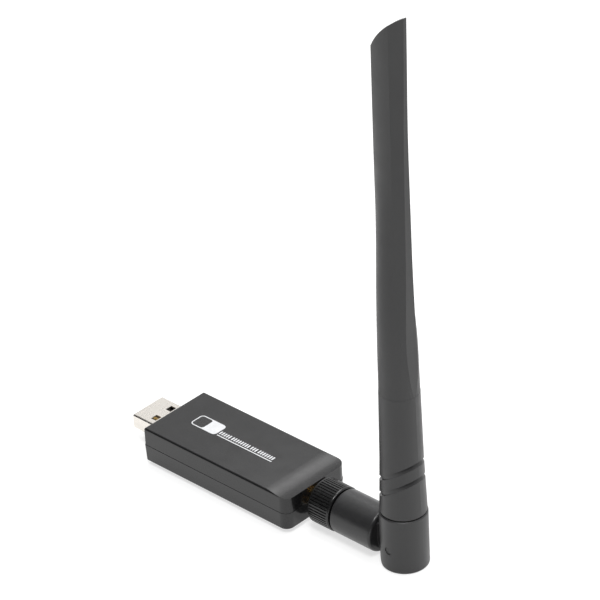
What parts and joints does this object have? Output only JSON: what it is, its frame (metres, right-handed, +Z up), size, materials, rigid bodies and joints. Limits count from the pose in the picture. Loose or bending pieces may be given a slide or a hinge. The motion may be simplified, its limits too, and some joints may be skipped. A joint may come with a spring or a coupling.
{
  "type": "usb wifi adapter",
  "caption": "Slim USB wifi adapter: two-shell casing with a plug at one end and a coaxial jack at the other, carrying a screw-on blade antenna that swivels and tilts.",
  "frame": {"origin": "centre of the USB plug's root, on the casing's end face", "axes": "-X is the way the plug points, X is the common axis of the plug and the antenna connector, +Z is up out of the casing's top"},
  "size_m": [0.1041, 0.0242, 0.1649],
  "materials": {
    "casing_plastic": "black ABS, satin gloss with polished edges",
    "antenna_plastic": "black, soft matte",
    "barrel_plastic": "black, fine sparked texture, semi-matte",
    "nut_plastic": "black, ridged, semi-gloss",
    "insulator_plastic": "black moulded insulator",
    "white_insulator": "white fluoropolymer",
    "nickel_plate": "nickel plate, lightly brushed",
    "gold_plate": "thin gold plate on brass",
    "brass_tube": "drawn brass",
    "tinned_steel": "tinned steel sheet",
    "spring_steel": "spring steel",
    "board_laminate": "green solder mask on glass-epoxy laminate",
    "chip_resin": "black moulding resin",
    "ferrite": "dark grey ferrite",
    "capacitor_ceramic": "tan ceramic with tinned ends",
    "cable_jacket": "black thin coaxial cable"
  },
  "bodies": {
    "root": {"top_cover": "casing_plastic", "bottom_cover": "casing_plastic", "circuit_board": "board_laminate", "shield_can": "tinned_steel", "wifi_chip": "chip_resin", "amplifier_chip": "chip_resin", "crystal": "tinned_steel", "voltage_regulator": "chip_resin", "power_inductor": "ferrite", "chip_capacitors": "capacitor_ceramic", "usb_shell": "nickel_plate", "usb_tongue": "insulator_plastic", "usb_contacts": "gold_plate", "antenna_jack": "gold_plate", "jack_insulator": "white_insulator", "jack_contact": "gold_plate"},
    "connector": {"plug_ferrule": "gold_plate", "retaining_ring": "spring_steel", "plug_insulator": "white_insulator", "plug_contact": "gold_plate"},
    "nut": {"nut_core": "nickel_plate", "nut_sleeve": "nut_plastic"},
    "barrel": {"swivel_barrel": "barrel_plastic", "coax_in_barrel": "cable_jacket", "coax_bend": "cable_jacket"},
    "antenna": {"antenna_base": "antenna_plastic", "antenna_sleeve": "antenna_plastic", "hinge_pins": "antenna_plastic", "coax_in_antenna": "cable_jacket", "dipole_tube": "brass_tube", "whip": "brass_tube", "lower_spacer": "white_insulator", "upper_spacer": "white_insulator"}
  },
  "joints": [
    {"name": "antenna_unscrew", "type": "slide", "parent": "root", "child": "connector", "axis": [1, 0, 0], "range_m": [0, 0.00423]},
    {"name": "nut_turn", "type": "hinge", "parent": "connector", "child": "nut", "pos_m": [0.061, 0, 0], "axis": [1, 0, 0], "range_deg": [0, 2161]},
    {"name": "antenna_swivel", "type": "hinge", "parent": "connector", "child": "barrel", "pos_m": [0.067, 0, 0], "axis": [1, 0, 0], "continuous": true},
    {"name": "antenna_tilt", "type": "hinge", "parent": "barrel", "child": "antenna", "pos_m": [0.08695, 0, 0], "axis": [0, 1, 0], "range_deg": [0, 90], "deforming": ["coax_bend"]}
  ],
  "couplings": [
    {"joint": "nut_turn", "follows": "antenna_unscrew", "rad_per_m": 8905.3}
  ]
}
